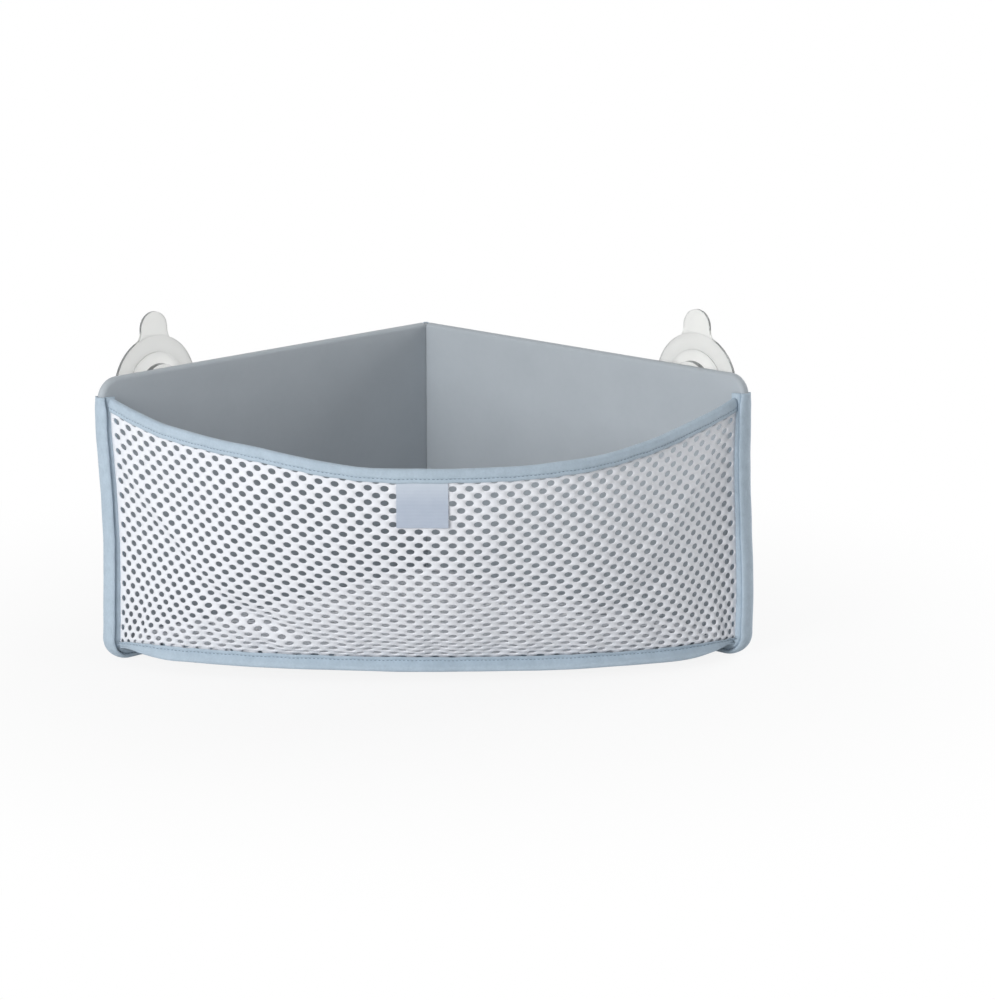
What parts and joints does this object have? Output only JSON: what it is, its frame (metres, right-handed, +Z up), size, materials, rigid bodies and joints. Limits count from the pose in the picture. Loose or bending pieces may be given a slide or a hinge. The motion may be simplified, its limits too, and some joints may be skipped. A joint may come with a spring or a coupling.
{
  "type": "corner bath toy organizer",
  "caption": "Corner bath toy bag: stiff cloth panels at a right angle, a bowed mesh front wall bound with tape, and soft suction cups that swivel in eyelets behind the panels.",
  "frame": {"origin": "under the middle of the organizer's box, on the surface that it stands on", "axes": "+X to the right as seen from the open front, along the widest extent; +Y to the rear corner; +Z up"},
  "size_m": [0.4054, 0.3108, 0.214],
  "materials": {
    "mesh_cloth": "white polyester mesh with oval holes",
    "binding_tape": "grey-blue woven binding tape, lock stitched",
    "panel_cloth": "light grey smooth cloth",
    "label_satin": "plain silver-grey satin",
    "stiffener_board": "plain sheet",
    "eyelet_plastic": "moulded, light grey",
    "cup_vinyl": "soft translucent vinyl"
  },
  "bodies": {
    "bag": {"front_mesh": "mesh_cloth", "base_mesh": "mesh_cloth", "rim_binding": "binding_tape", "front_bottom_binding": "binding_tape", "rear_corner_binding": "binding_tape", "label_patch": "label_satin", "left_panel_cover": "panel_cloth", "left_stiffener_board": "stiffener_board", "left_panel_binding": "binding_tape", "left_eyelet": "eyelet_plastic", "left_eyelet_washer": "eyelet_plastic", "right_panel_cover": "panel_cloth", "right_stiffener_board": "stiffener_board", "right_panel_binding": "binding_tape", "right_eyelet": "eyelet_plastic", "right_eyelet_washer": "eyelet_plastic"},
    "left_cup": {"left_suction_cup": "cup_vinyl"},
    "right_cup": {"right_suction_cup": "cup_vinyl"}
  },
  "joints": [
    {"name": "left_cup_swivel", "type": "hinge", "parent": "bag", "child": "left_cup", "pos_m": [-0.16193, -0.01554, 0.167], "axis": [-0.7071, 0.7071, 0], "continuous": true},
    {"name": "right_cup_swivel", "type": "hinge", "parent": "bag", "child": "right_cup", "pos_m": [0.16193, -0.01554, 0.167], "axis": [0.7071, 0.7071, 0], "continuous": true}
  ]
}
